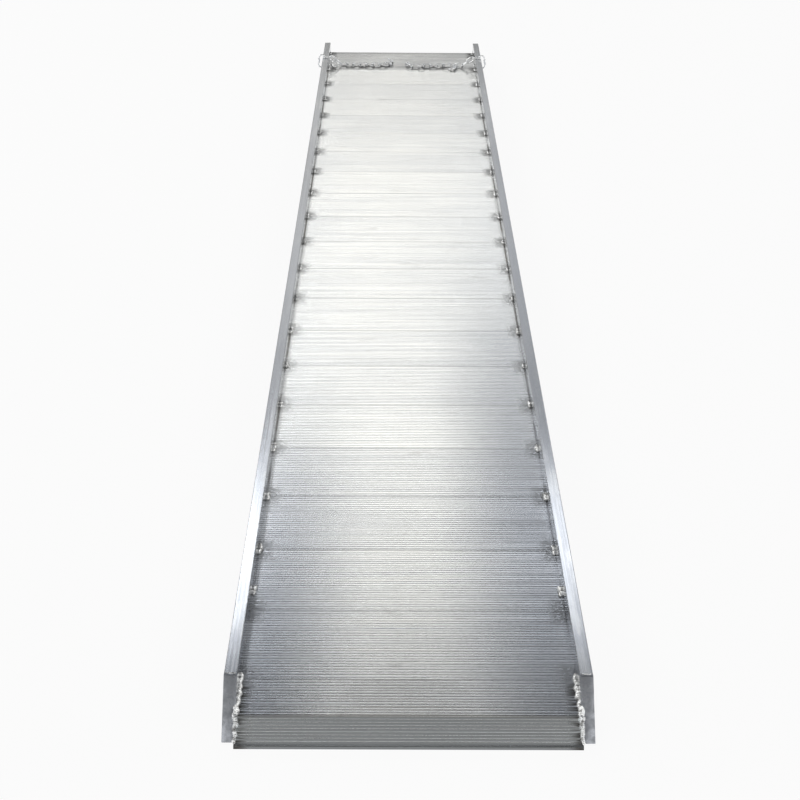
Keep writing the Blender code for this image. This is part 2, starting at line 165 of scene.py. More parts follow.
class RailSettings(bpy.types.PropertyGroup):
    """Side rails and their plates at the toe."""

    wall: length("Wall", "Thickness of web and flanges", 0.0048)
    lip_round: length("Lip round", "Rounding of the flanges' lips", 0.0014)
    root_round: length("Root round", "Rounding inside the channel", 0.0035)
    hole: length("Chain hole", "Diameter of the hole for the quick link", 0.013)
    hole_edge: length("Hole edge", "Distance of the hole's middle from the lip", 0.0103)
    saw_gap: length("Saw gap", "Height by which the sloped cut stays behind its plate", 0.0004)
    plate_gap: length("Plate gap", "Gap between the toe end plates and the rails", 0.0003)
    plate_round: length("Plate round", "Rounding of the toe end plates", 0.0008)
    metal: colour("Rail metal", "Flanges and web", (0.42, 0.43, 0.45))
    worn_metal: colour("Worn rail metal", "Rubbed places of the rails", (0.54, 0.545, 0.55))
    # painted shade: this darker tone is laid along the rails' middle stretch
    dull_metal_and_painted_shade: colour("Dull rail metal", "Upper part of the rails, seldom trodden on", (0.23, 0.235, 0.245))
    plate_metal: colour("End plate metal", "Sawn plate at the toe", (0.34, 0.355, 0.39))


class HookSettings(bpy.types.PropertyGroup):
    """Plate hooks under the top plate."""

    throat_start: length("Throat start", "From the plate's edge to the throat", 0.010)
    throat: length("Throat", "Width of the throat", 0.026)
    throat_depth: length("Throat depth", "Height of the throat", 0.021)
    nose_top: length("Nose top", "Height of the hook's nose", 0.026)
    nose_round: length("Nose round", "Rounding of the nose", 0.012)
    prong_round: length("Prong round", "Rounding of the prong's foot", 0.008)
    edge_round: length("Edge round", "Rounding of the cut edges", 0.001)


class WeldSettings(bpy.types.PropertyGroup):
    """Weld beads."""

    spot_length: length("Spot length", "Length of the bead at a plank joint", 0.028)
    spot_radius: length("Spot radius", "Radius of the bead at a plank joint", 0.0050)
    run_radius: length("Run radius", "Radius of the bead along the toe", 0.0058)
    plate_radius: length("Plate radius", "Radius of the bead on top of an end plate", 0.0019)
    lip_radius: length("Lip radius", "Radius of the bead at a rail's lip", 0.0030)
    short_radius: length("Short radius", "Radius of the beads at the cross bar and at the toe's feet", 0.0026)
    hook_radius: length("Hook radius", "Radius of the beads along the ramp hooks", 0.0028)
    far_radius: length("Far radius", "Radius of the beads at the top plate's far corners", 0.0042)
    near_radius: length("Near radius", "Radius of the beads at the top plate's near corners", 0.0038)
    ripple: length("Ripple", "Distance between two ripples of a bead", 0.0032)
    seed: bpy.props.IntProperty(name="Seed", description="Order of the beads' chance sizes", default=7)
    # painted glint and painted shade of the bead's ripples, laid in chance patches
    bright: colour("Bright weld", "Crest of a ripple", (0.94, 0.95, 0.96))
    painted_valley_shade: colour("Dull weld", "Valley of a ripple", (0.34, 0.34, 0.34))


class ChainSettings(bpy.types.PropertyGroup):
    """Safety chains, quick links and slip hooks."""

    wire: length("Wire", "Diameter of a link's wire", 0.005)
    inner_length: length("Inner length", "Inner length of a link", 0.032)
    inner_width: length("Inner width", "Inner width of a link", 0.014)
    swell: share("Swell", "How much thicker a link is at its weld", 0.07)
    swell_reach: length("Swell reach", "Reach of the swelling along the wire", 0.0022)
    quick_wire: length("Quick link wire", "Diameter of the quick link's wire", 0.006)
    quick_width: length("Quick link width", "Inner width of the quick link", 0.020)
    quick_length: length("Quick link length", "Inner length of the quick link", 0.050)
    quick_lean: angle("Quick link lean", "Lean of the quick link from upright", 8)
    quick_mouth: length("Quick link mouth", "Gap that the nut closes", 0.009)
    thread: length("Thread", "Pitch of the quick link's thread", 0.001)
    thread_cut: share("Thread cut", "Half the depth of the thread, as a share of the wire's radius", 0.035)
    nut_length: length("Nut length", "Length of the quick link's nut", 0.016)
    nut_flats: length("Nut flats", "Width of the nut across its flats", 0.0105)
    nut_bore: length("Nut bore", "Radius of the nut's bore", 0.0033)
    eye_radius: length("Eye radius", "Inner radius of the slip hook's eye", 0.007)
    eye_wire: length("Eye wire", "Diameter of the eye's wire", 0.0055)
    hang_gap: length("Hang gap", "Gap between eye and link", 0.001)
    bowl_radius: length("Bowl radius", "Radius of the slip hook's bowl", 0.0145)
    bowl_forward: length("Bowl forward", "From the link's wire to the bowl's middle", 0.031)
    bowl_side: length("Bowl side", "Offset of the bowl's middle", 0.003)
    shank: length("Shank", "Diameter of the slip hook's shank", 0.010)
    bowl_wire: length("Bowl wire", "Diameter of the slip hook's bowl", 0.0116)
    tip_wire: length("Tip wire", "Diameter of the slip hook's tip", 0.006)
    forged_detail: length("Forged detail", "Smallest step of the forged shape", 0.0006)
    zinc: colour("Zinc", "Bright zinc plate", (0.95, 0.96, 0.97))
    dull_zinc: colour("Dull zinc", "Handled zinc plate", (0.56, 0.58, 0.61))


class StageSettings(bpy.types.PropertyGroup):
    """Floor, light and camera."""

    floor_size: length("Floor size", "Width of the floor", 60.0)
    floor_drop: length("Floor drop", "How far the floor lies under the ramp's feet", 0.0006)
    floor_colour: colour("Floor colour", "Pale floor", (0.90, 0.90, 0.90))
    floor_white: share("Floor white", "Share of plain white in the floor as it is seen", 0.92)
    lamp_power: number("Lamp power", "Power of the soft lamp", 30.0, unit="POWER")
    lamp_size: length("Lamp size", "Width of the soft lamp", 3.0)
    lamp_place: place("Lamp place", "Where the soft lamp hangs", (-4.6, 0.8, 3.4))
    sky_strength: share("Sky strength", "Brightest part of the light's round", 1.8)
    window_strength: share("Window strength", "Brightness of the tall windows over the rails", 6.0)
    lens: number("Lens", "Focal length in millimetres", 58.327, unit="CAMERA")
    camera_place: place("Camera place", "Where the camera stands", (-0.0331, -3.8904, 1.8511))
    camera_yaw: angle("Camera yaw", "Turn to the right", 0.373)
    camera_pitch: angle("Camera pitch", "Look downwards", 31.777)
    camera_roll: angle("Camera roll", "Turn about the view", 0.479)


class WalkRampSettings(bpy.types.PropertyGroup):
    """All sizes and colours of the walk ramp."""

    deck: group("Deck", "Planks, toe and top plate", DeckSettings)
    rail: group("Rails", "Side rails", RailSettings)
    hook: group("Ramp hooks", "Plate hooks", HookSettings)
    weld: group("Welds", "Weld beads", WeldSettings)
    chain: group("Chains", "Chains and their fittings", ChainSettings)
    stage: group("Stage", "Floor, light and camera", StageSettings)


# Surfaces


def unit(vectors):
    """Vectors brought to length one."""
    return vectors / np.linalg.norm(vectors, axis=-1, keepdims=True)


def arc(middle, radius, start, end, steps):
    """Points on a circle from one angle to another, in degrees."""
    turn = np.radians(np.linspace(start, end, steps))
    return np.asarray(middle) + radius * np.stack([np.cos(turn), np.sin(turn)], 1)


def full_turn(count):
    """So many even angles round a circle."""
    return 2 * np.pi * np.arange(count) / count


def rings(side, high, count):
    """Circles of radius one: point (i, k) is cos t_k side_i + sin t_k high_i."""
    turn = full_turn(count)[:, None]
    return np.cos(turn) * side[:, None] + np.sin(turn) * high[:, None]


def grid_faces(rows, columns, rows_close):
    """Quads between neighbours of a grid of points. Its columns close, and its rows too where asked."""
    row, column = np.meshgrid(np.arange(rows if rows_close else rows - 1), np.arange(columns), indexing="ij")
    next_row, next_column = (row + 1) % rows, (column + 1) % columns
    corners = ((row, column), (row, next_column), (next_row, next_column), (next_row, column))
    return np.stack([i * columns + j for i, j in corners], -1).reshape(-1, 4).tolist()


def soften(outline, cuts, steps=5):
    """Rounds a closed outline's corners: each corner P becomes (1-s)^2 A + 2s(1-s) P + s^2 B, where A and B
    lie its cut away along its two edges. A point a third of a cut beyond A and B keeps the flats flat."""
    outline = np.asarray(outline, float)
    cuts = np.broadcast_to(np.asarray(cuts, float), len(outline))[:, None]
    back = unit(np.roll(outline, 1, 0) - outline) * cuts
    ahead = unit(np.roll(outline, -1, 0) - outline) * cuts
    first, corner, last = (outline + back)[:, None], outline[:, None], (outline + ahead)[:, None]
    s = np.linspace(0, 1, steps)[None, :, None]
    curve = (1 - s) ** 2 * first + 2 * s * (1 - s) * corner + s**2 * last
    points = np.concatenate([first + back[:, None] / 3, curve, last + ahead[:, None] / 3], 1).reshape(-1, 2)
    return points[np.linalg.norm(points - np.roll(points, 1, 0), axis=1) > 1e-7]


def capped(points):
    """A closed skin over rings of points: quads between rings and one face over each end ring."""
    stations, count = points.shape[:2]
    faces = grid_faces(stations, count, False)
    faces.append(list(range(count))[::-1])
    faces.append(list(range((stations - 1) * count, stations * count)))
    return points.reshape(-1, 3), faces


def across(outline, low, high):
    """A solid from an outline in (y, z) carried along X, with a cap at each end."""
    return capped(np.stack([np.insert(np.asarray(outline, float), 0, x, axis=1) for x in (low, high)]))


def slab(low, high, cuts):
    """A bar across the ramp between the corners of its box, its long edges rounded by the cuts."""
    outline = [(low.y, low.z), (high.y, low.z), (high.y, high.z), (low.y, high.z)]
    return across(soften(outline, cuts), low.x, high.x)


def ribs(start, end, deck, rounded, pitch):
    """Ribbed line from one (y, z) to another: it drops by depth * ((1 - cos 2 pi n) / 2)^sharpness at n ribs
    along, and by a quarter circle at its two ends where these are rounded."""
    start, end = np.asarray(start, float), np.asarray(end, float)
    run = end - start
    reach = np.hypot(*run)
    count = max(1, round(reach / pitch))
    along = np.linspace(0, reach, count * deck.rib_points + 1)
    fine = deck.seam_round * np.array([0.0, 0.15, 0.35, 0.6, 1.0])
    if rounded:
        along = np.unique(np.round(np.concatenate([along, fine, reach - fine]), 6))
    drop = deck.rib_depth * ((1 - np.cos(2 * np.pi * along / reach * count)) / 2) ** deck.groove_sharpness
    if rounded:
        near = np.clip(1 - np.minimum(along, reach - along) / deck.seam_round, 0, 1)
        drop = drop + deck.seam_round * (1 - np.sqrt(1 - near**2))
    down = np.array([run[1], -run[0]]) / reach
    return start + run / reach * along[:, None] + down * drop[:, None]


def wire(path, radii, sides, closed, flatten=1.0):
    """A round wire along a path in (x, y): point (i, k) is p_i + r_i (cos t_k side_i + flatten sin t_k Z),
    side_i square to the path and to Z. Open ends are closed by shrinking rings."""
    path = np.pad(path, ((0, 0), (0, 1)))
    radii = np.broadcast_to(radii, len(path))
    if closed:
        tangent = unit(np.roll(path, -1, 0) - np.roll(path, 1, 0))
    else:
        tangent = unit(np.gradient(path, axis=0))
    side = unit(np.cross(tangent, (0, 0, 1)))
    if not closed:
        # a dome at each end: rings at angles up to the pole
        dome = np.radians([80, 60, 35])
        reach = 0.6 * np.sin(dome)[:, None]
        first = path[0] - tangent[0] * radii[0] * reach
        last = path[-1] + tangent[-1] * radii[-1] * reach[::-1]
        path = np.concatenate([first, path, last])
        side = np.concatenate([side[:1].repeat(3, 0), side, side[-1:].repeat(3, 0)])
        radii = np.concatenate([radii[0] * np.cos(dome), radii, radii[-1] * np.cos(dome[::-1])])
    high = np.broadcast_to((0, 0, flatten), side.shape)
    points = path[:, None] + rings(side, high, sides) * radii[:, None, None]
    return (points.reshape(-1, 3), grid_faces(len(path), sides, True)) if closed else capped(points)


def oval_path(half, radius, steps):
    """Loop with straight sides: a half circle round each end, half the given length from the middle."""
    end = arc((half - radius, 0), radius, -90, 90, steps)
    upper = end[-1] + (-end[0] - end[-1]) * np.linspace(0, 1, 5)[1:-1, None]
    return np.concatenate([end, upper, -end, -upper])


def bead(path, radius, weld, chance, up=(0.0, 0.0, 1.0)):
    """Weld bead along a path: a round skin of radius * sqrt(1 - e^6) at e of the way from middle to end,
    swelled by slanted ripples along it and by slow chance waves."""
    waves, sides = 4, 12
    path = np.asarray(path, float)
    reach = np.concatenate([[0.0], np.cumsum(np.linalg.norm(np.diff(path, axis=0), axis=1))])
    along = np.linspace(0, reach[-1], max(10, int(4.2 * reach[-1] / weld.ripple)))
    middle = np.stack([np.interp(along, reach, axis) for axis in path.T], 1)
    tangent = unit(np.gradient(middle, axis=0))
    side = unit(np.cross(tangent, up))
    turn = full_turn(sides)
    rippled = along[:, None] / weld.ripple
    phase = 2 * np.pi * chance.random((waves, 3))
    slow = sum(
        np.sin(rippled * (0.35 + 0.4 * wave) + phase[wave, 0]) * np.cos(turn * (wave % 3) + phase[wave, 1])
        for wave in range(waves)
    ) / waves
    ripple = np.sin(2 * np.pi * rippled + 1.3 * np.cos(turn) + phase[0, 2])
    end = np.abs(2 * along / reach[-1] - 1)
    swell = np.sqrt(np.clip(1 - end**6, 0.0004, 1))[:, None]
    size = radius * swell * (1 + 0.20 * ripple * swell + 0.42 * slow)
    wander = radius * 0.22 * np.sin(rippled * 0.9 + phase[1, 2]) * side
    return capped((middle + wander)[:, None] + rings(side, np.cross(side, tangent), sides) * size[..., None])


def together(shapes):
    """Several skins as one list of points and faces."""
    points, faces, count = [], [], 0
    for some_points, some_faces in shapes:
        points.append(some_points)
        faces.extend([corner + count for corner in face] for face in some_faces)
        count += len(some_points)
    return np.concatenate(points), faces


def put(name, data):
    """A new object for its data, linked into the scene."""
    made = bpy.data.objects.new(name, data)
    bpy.context.scene.collection.objects.link(made)
    return made


def new_skin(name, shape, finish):
    """An object at the origin for a skin, its faces outwards."""
    points, faces = shape
    mesh = bpy.data.meshes.new(name)
    mesh.from_pydata(np.asarray(points).tolist(), [], faces)
    mesh.materials.append(metal(finish))
    skin = bmesh.new()
    skin.from_mesh(mesh)
    bmesh.ops.recalc_face_normals(skin, faces=skin.faces)
    skin.to_mesh(mesh)
    skin.free()
    return put(name, mesh)


def smooth_to(mesh, degrees):
    """Smooth shading, sharp where the skin turns past an angle."""
    mesh.shade_smooth()
    mesh.set_sharp_from_angle(angle=math.radians(degrees))


def add_piece(name, shape, finish, slot, *nodes, smooth=35.0):
    """A piece of the scene: it stands for its CAD nodes and rides on their body; its slot is not used."""
    piece = new_skin(name, shape, finish)
    smooth_to(piece.data, smooth)
    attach(piece, frame["nodes"][nodes[0]]["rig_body"] if nodes else STATIC_BODY)
    if nodes:
        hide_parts(*nodes)
    return piece


def keep_shape(piece, smooth=35.0):
    """Makes a piece's modifiers part of its mesh."""
    finished = bpy.data.meshes.new_from_object(piece.evaluated_get(bpy.context.evaluated_depsgraph_get()))
    piece.modifiers.clear()
    piece.data = finished
    smooth_to(finished, smooth)


def round_edges(piece, width, degrees):
    """Rounds a piece's edges where they turn past an angle."""
    change = piece.modifiers.new("edges", "BEVEL")
    change.width = width
    change.segments = 3
    change.limit_method = "ANGLE"
    change.angle_limit = math.radians(degrees)
    change.harden_normals = False
    keep_shape(piece)


# Metals


class Nodes:
    """Short calls for the nodes of one tree."""

    def __init__(self, tree):
        self.tree = tree

    def give(self, value, socket):
        """Sets a socket to a number or colour, or links it to another socket."""
        if isinstance(value, bpy.types.NodeSocket):
            self.tree.links.new(value, socket)
        else:
            socket.default_value = (*value, 1.0) if socket.type == "RGBA" else value

    def node(self, kind, *values):
        """A new node whose first inputs take the values."""
        made = self.tree.nodes.new(f"ShaderNode{kind}")
        for value, socket in zip(values, made.inputs):
            self.give(value, socket)
        return made

    def step(self, operation, *values):
        """One step of arithmetic."""
        made = self.node("Math", *values)
        made.operation = operation
        return made.outputs[0]

    def times(self, first, *others):
        """Product of all the values."""
        for other in others:
            first = self.step("MULTIPLY", first, other)
        return first

    def plus(self, first, second):
        """Sum of two values."""
        return self.step("ADD", first, second)

    def minus(self, first, second):
        """Difference of two values."""
        return self.step("SUBTRACT", first, second)

    def most(self, first, second):
        """The larger of two values."""
        return self.step("MAXIMUM", first, second)

    def spread(self, value, low, high, start=0.0, end=1.0):
        """Smooth rise from start at low to end at high."""
        made = self.node("MapRange", value, low, high, start, end)
        made.interpolation_type = "SMOOTHSTEP"
        return made.outputs[0]

    def band(self, value, low, full, fade, high):
        """Smooth rise to one between low and full, and back to zero between fade and high."""
        return self.times(self.spread(value, low, full), self.spread(value, fade, high, 1.0, 0.0))

    def mix(self, factor, first, second, way="MIX"):
        """Blend of two colours."""
        made = self.node("Mix", factor)
        made.data_type = "RGBA"
        made.blend_type = way
        self.give(first, made.inputs[6])
        self.give(second, made.inputs[7])
        return made.outputs[2]


class Finish(Nodes):
    """One procedural metal, with the masks that several metals share."""

    def __init__(self, name):
        self.material = bpy.data.materials.new(name)
        self.material.use_nodes = True
        super().__init__(self.material.node_tree)
        self.shader = self.tree.nodes["Principled BSDF"]
        self.shader.inputs["Metallic"].default_value = 1.0
        self.place = self.node("TexCoord").outputs["Object"]
        self.x, self.y, self.z = self.node("SeparateXYZ", self.place).outputs

    def away(self, value, middle=0.0):
        """Distance of a value from a middle."""
        return self.step("ABSOLUTE", self.minus(value, middle) if middle else value)

    def noise(self, scales, detail=3.0, roughness=0.55):
        """Chance pattern with so many waves a metre along X, Y and Z, or the same number along all three."""
        mapping = self.node("Mapping", self.place)
        mapping.inputs["Scale"].default_value = (scales,) * 3 if isinstance(scales, float) else scales
        made = self.node("TexNoise", mapping.outputs[0])
        for name, value in (("Scale", 1.0), ("Detail", detail), ("Roughness", roughness)):
            made.inputs[name].default_value = value
        return made.outputs["Fac"]

    def planks_along(self):
        """How many planks lie between the deck's first joint and a place."""
        return self.step("DIVIDE", self.minus(self.y, FIRST_JOINT), PLANK_PITCH)

    def joint_distance(self):
        """Distance along Y to the nearest plank joint: |fract(n + 1/2) - 1/2| * pitch at n planks along."""
        fraction = self.step("FRACT", self.plus(self.planks_along(), 0.5))
        return self.times(self.away(fraction, 0.5), PLANK_PITCH)

    def groove(self, deck):
        """Share of painted shade in a groove, rising with depth below the deck's top or the toe slope's line.
        """
        foot = TOE_LOW.y + deck.toe_nose
        climb = (DECK_TOP - deck.toe_nose_top) / (TOE_HIGH.y - deck.toe_flat - foot)
        line = self.step("MULTIPLY_ADD", self.minus(self.y, foot), climb, deck.toe_nose_top)
        depth = self.minus(self.step("MINIMUM", line, DECK_TOP), self.z)
        low = self.spread(depth, deck.rib_depth * 0.15, deck.rib_depth * 0.8)
        return self.times(low, self.step("LESS_THAN", depth, 0.001))

    def weld_soot(self):
        """Soot that fades from each weld at the deck's edges, broken up by chance, stronger up the ramp."""
        near_joint = self.spread(self.joint_distance(), 0.020, 0.050, 1.0, 0.0)
        near_corner = self.spread(self.away(self.y, TOP_HIGH.y - 0.018), 0.012, 0.034, 1.0, 0.0)
        along = self.spread(self.y, -1.2, 1.9, 0.35, 1.0)
        edge = self.spread(self.away(self.x), WEB_FACE - 0.044, WEB_FACE - 0.008)
        low = self.spread(self.z, DECK_TOP + 0.026, DECK_TOP + 0.004)
        patches = self.spread(self.noise((110, 160, 110), 4.0, 0.65), 0.36, 0.54)
        return self.times(self.most(near_joint, near_corner), along, edge, low, patches)

    def finish(self, base, roughness, height=None, distance=0.0001, strength=0.2):
        """Gives the shader its colour, roughness and relief."""
        self.give(base, self.shader.inputs["Base Color"])
        self.give(roughness, self.shader.inputs["Roughness"])
        if height is not None:
            bump = self.node("Bump")
            for name, value in (("Distance", distance), ("Strength", strength), ("Height", height)):
                self.give(value, bump.inputs[name])
            self.give(bump.outputs[0], self.shader.inputs["Normal"])
        return self.material


# Tones of smudges and wear, and of painted shade, shadow, sheen and reflection
PAINTED_SLOPE_SHADE = (0.72, 0.77, 0.82)
GROOVE_SHADE = (0.30, 0.30, 0.29)
SMUDGE = (0.45, 0.44, 0.42)
SEAM_SHADE = (0.25, 0.25, 0.25)
WEB_GAP_SHADE = (0.16, 0.14, 0.11)
PAINTED_SIDE_SHADE = (0.235, 0.25, 0.28)
NOSE_FRONT_SHADE = (0.13, 0.135, 0.14)
FAR_RAIL_SHEEN = (0.70, 0.71, 0.72)
FAR_EDGE_SHADE = (0.20, 0.20, 0.20)
CHAIN_RUB_AND_SHADOW = (0.15, 0.15, 0.15)
LOW_LINK_SHADE = (0.16, 0.16, 0.17)


def deck_metal(deck):
    """Mill-finish tread: streaks across the ramp, a tone for each plank, smudges and soot, with painted shade
    at the seams, in the grooves, along the edges, beside the rails and on the toe, and a cool painted
    reflection on the toe's slope.
    """
    made = Finish("mill_aluminium_tread")
    streaks = made.noise((1.6, 150.0, 8.0), 4.0)
    clouds = made.noise((3.0, 4.0, 3.0), 2.0)
    plank = made.tree.nodes.new("ShaderNodeTexWhiteNoise")
    plank.noise_dimensions = "1D"
    made.give(made.step("FLOOR", made.planks_along()), plank.inputs["W"])
    tone = made.plus(made.times(streaks, 0.55), made.times(clouds, 0.45))
    tone = made.plus(tone, made.times(plank.outputs["Value"], 0.22))
    base = made.mix(made.spread(tone, 0.42, 0.82), deck.light_metal, deck.dull_metal_and_painted_shade)
    # the toe's slope gets painted shade and a cool painted reflection, and more painted shade in its grooves
    at_toe = made.spread(made.y, FIRST_JOINT + 0.02, FIRST_JOINT - 0.03)
    slope = made.times(at_toe, made.spread(made.z, DECK_TOP - 0.001, DECK_TOP - 0.004))
    base = made.mix(made.times(slope, 0.7), base, PAINTED_SLOPE_SHADE)
    # painted shade in every groove, darker with depth and more on the toe's slope
    groove_shade_share = made.plus(made.times(slope, 0.36), 0.22)
    base = made.mix(made.times(made.groove(deck), groove_shade_share), base, GROOVE_SHADE)
    base = made.mix(made.spread(made.noise((9.0, 22.0, 9.0), 2.0), 0.66, 0.76, 0.0, 0.20), base, SMUDGE)
    # painted shade: a thin dark band along each plank joint
    base = made.mix(made.spread(made.joint_distance(), 0.0008, 0.0030, 0.14, 0.0), base, SEAM_SHADE)
    # painted shade: a dark line, broken up by chance, along the deck's edges where the planks meet the webs
    web_gap_shade = made.spread(made.away(made.x), WEB_FACE - 0.0045, WEB_FACE - 0.0012)
    web_gap_shade = made.times(web_gap_shade, made.spread(made.noise((3.0, 5.0, 3.0), 2.0), 0.42, 0.58, 0.15, 0.9))
    base = made.mix(web_gap_shade, base, WEB_GAP_SHADE)
    # painted shade beside the rails, mostly low on the ramp and on its right, and over the toe
    right_side_shade = made.times(made.spread(made.x, 0.03, 0.30), made.spread(made.y, 0.2, -1.7, 0.0, 0.78))
    left_side_shade = made.times(made.spread(made.x, -0.06, -0.30), made.spread(made.y, -0.7, -1.9, 0.0, 0.82))
    toe_shade = made.spread(made.y, FIRST_JOINT + 0.0005, FIRST_JOINT - 0.0005, 0.0, 0.24)
    side_shade = made.most(toe_shade, made.most(right_side_shade, left_side_shade))
    side_shade = made.times(side_shade, made.spread(made.z, DECK_TOP - 0.004, DECK_TOP - 0.001))
    base = made.mix(side_shade, base, PAINTED_SIDE_SHADE)
    # painted shade on the front face of the toe's nose
    front = made.spread(made.y, TOE_LOW.y + deck.toe_round, TOE_LOW.y + deck.toe_round / 3, 0.0, 0.85)
    base = made.mix(front, base, NOSE_FRONT_SHADE)
    toe_edge = made.spread(made.away(made.x), WEB_FACE - 0.034, WEB_FACE - 0.006)
    fingers = made.spread(made.noise((16.0, 260.0, 120.0)), 0.40, 0.56)
    soot = made.most(made.weld_soot(), made.times(at_toe, toe_edge, fingers))
    base = made.mix(made.times(soot, 0.88), base, deck.soot)
    return made.finish(base, made.plus(made.spread(streaks, 0.3, 0.7, 0.19, 0.28), made.times(soot, 0.3)))


def rail_metal(rail, deck):
    """Mill-finish rail: drawn lines along it, rubbed places, painted shade along its middle stretch, a
    painted sheen towards its far end, and soot at the welds inside.
    """
    made = Finish("mill_aluminium_rail")
    lines = made.noise((260.0, 1.4, 260.0), 4.0)
    rubbed = made.spread(made.noise((30.0, 7.0, 30.0)), 0.45, 0.68)
    base = made.mix(made.times(rubbed, made.spread(lines, 0.3, 0.6)), rail.metal, rail.worn_metal)
    # painted shade along the rails' middle stretch
    base = made.mix(made.times(made.band(made.y, -1.5, -0.75, 0.4, 1.4), 0.80), base, rail.dull_metal_and_painted_shade)
    # painted sheen: the rails grow lighter towards the far end
    base = made.mix(made.spread(made.y, 0.8, 1.9, 0.0, 0.55), base, FAR_RAIL_SHEEN)
    inside = made.step("LESS_THAN", made.away(made.x), WEB_FACE + 0.001)
    soot = made.times(made.weld_soot(), inside)
    base = made.mix(made.times(soot, 0.85), base, deck.soot)
    rough = made.plus(made.spread(lines, 0.3, 0.7, 0.12, 0.19), made.times(soot, 0.35))
    return made.finish(base, rough, lines, 0.0001, 0.25)


def plate_metal(name, light, dark, scale, rough_low, rough_high):
    """Plain plate: mottled by chance patches, with fine scratches."""
    made = Finish(name)
    patches = made.noise(scale, 5.0, 0.65)
    base = made.mix(made.spread(patches, 0.38, 0.62), light, dark)
    rough = made.spread(patches, 0.35, 0.65, rough_low, rough_high)
    return made.finish(base, rough, made.noise(420.0), 0.0001, 0.3)


def top_metal(deck):
    """Plain top plate: the tread's metal, duller, with painted shade along its far edge, rubbing and painted
    shadow under the chains, and soot at its corners.
    """
    made = Finish("mill_aluminium_plate")
    streaks = made.noise((2.2, 60.0, 8.0), 4.0)
    tone = made.plus(made.times(streaks, 0.5), made.times(made.noise((5.0, 9.0, 5.0)), 0.5))
    base = made.mix(made.spread(tone, 0.38, 0.62), (0.62, 0.62, 0.61), (0.46, 0.46, 0.455))
    # painted shade: a darker strip along the plate's far edge
    base = made.mix(made.spread(made.y, TOP_HIGH.y - 0.032, TOP_HIGH.y - 0.018, 0.0, 0.45), base, FAR_EDGE_SHADE)
    # rubbing and painted shadow under the chains, broken up by chance
    under_chain = made.spread(made.away(made.y, CHAIN_ROW), 0.026, 0.012)
    rub_and_shadow_marks = made.spread(made.noise((55.0, 90.0, 70.0), 5.0, 0.65), 0.38, 0.66, 0.0, 0.62)
    base = made.mix(made.times(under_chain, rub_and_shadow_marks), base, CHAIN_RUB_AND_SHADOW)
    soot = made.weld_soot()
    base = made.mix(made.times(soot, 0.9), base, deck.soot)
    rough = made.plus(made.spread(streaks, 0.3, 0.7, 0.24, 0.34), made.times(soot, 0.3))
    return made.finish(base, rough, streaks)


def weld_metal(weld):
    """Light and dark chance patches, a painted glint and painted shade of the ripples, with fine grain."""
    made = Finish("weld_aluminium")
    grain = made.noise(500.0, 4.0, 0.7)
    # painted glints and painted shade in chance patches
    base = made.mix(made.spread(made.noise(120.0), 0.44, 0.66), weld.bright, weld.painted_valley_shade)
    return made.finish(base, made.spread(grain, 0.3, 0.7, 0.16, 0.36), grain, 0.0004, 0.5)


def zinc_metal(chain):
    """Bright zinc plate with duller handled patches, and painted shade where it lies low on the deck."""
    made = Finish("bright_zinc")
    patches = made.noise(150.0)
    base = made.mix(made.spread(patches, 0.45, 0.72), chain.zinc, chain.dull_zinc)
    # painted shade on the links' lower parts, near the deck, broken up by chance
    low = made.spread(made.z, DECK_TOP + 0.011, DECK_TOP + 0.003)
    base = made.mix(made.times(low, made.spread(made.noise(60.0), 0.46, 0.60)), base, LOW_LINK_SHADE)
    return made.finish(base, made.spread(patches, 0.3, 0.7, 0.06, 0.18), made.noise(700.0))


METALS = {}


def metal(name):
    """One of the finishes by name, made when it is first asked for."""
    ramp = bpy.context.scene.walk_ramp
    cut_light, cut_dark, sawn_dark = (0.72, 0.73, 0.74), (0.56, 0.57, 0.58), (0.25, 0.26, 0.285)
    makers = {
        "tread": lambda: deck_metal(ramp.deck),
        "plate": lambda: top_metal(ramp.deck),
        "rail": lambda: rail_metal(ramp.rail, ramp.deck),
        "end": lambda: plate_metal("sawn_aluminium", ramp.rail.plate_metal, sawn_dark, 60.0, 0.26, 0.46),
        "hook": lambda: plate_metal("cut_aluminium", cut_light, cut_dark, 24.0, 0.28, 0.40),
        "weld": lambda: weld_metal(ramp.weld),
        "zinc": lambda: zinc_metal(ramp.chain),
    }
    if name not in METALS:
        METALS[name] = makers[name]()
    return METALS[name]


# Pieces


def legs(skin, *edges):
    """A plank's underside in (y, z) from its far side: down the far edge of each leg and up its near one."""
    foot = PLANK_LOW.z
    return [point for far, near in edges for point in ((far, skin), (far, foot), (near, foot), (near, skin))]


def make_deck_planks(deck):
    """Each plank is its ribbed line carried across the ramp over three legs."""
    skin = DECK_TOP - deck.rib_depth - deck.skin
    for name in PLANK_NODES:
        low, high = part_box(name)
        middle = (low.y + high.y) / 2
        top = ribs((low.y, DECK_TOP), (high.y, DECK_TOP), deck, True, deck.rib_pitch)
        far_sides = (high.y, middle + deck.leg / 2, low.y + deck.leg)
        under = legs(skin, *((far, far - deck.leg) for far in far_sides))[1:-1]
        shape = across(np.concatenate([top, under]), -PLANK_HIGH.x, PLANK_HIGH.x)
        add_piece(f"{name}_tread", shape, "tread", "deck_aluminium", name, smooth=50)


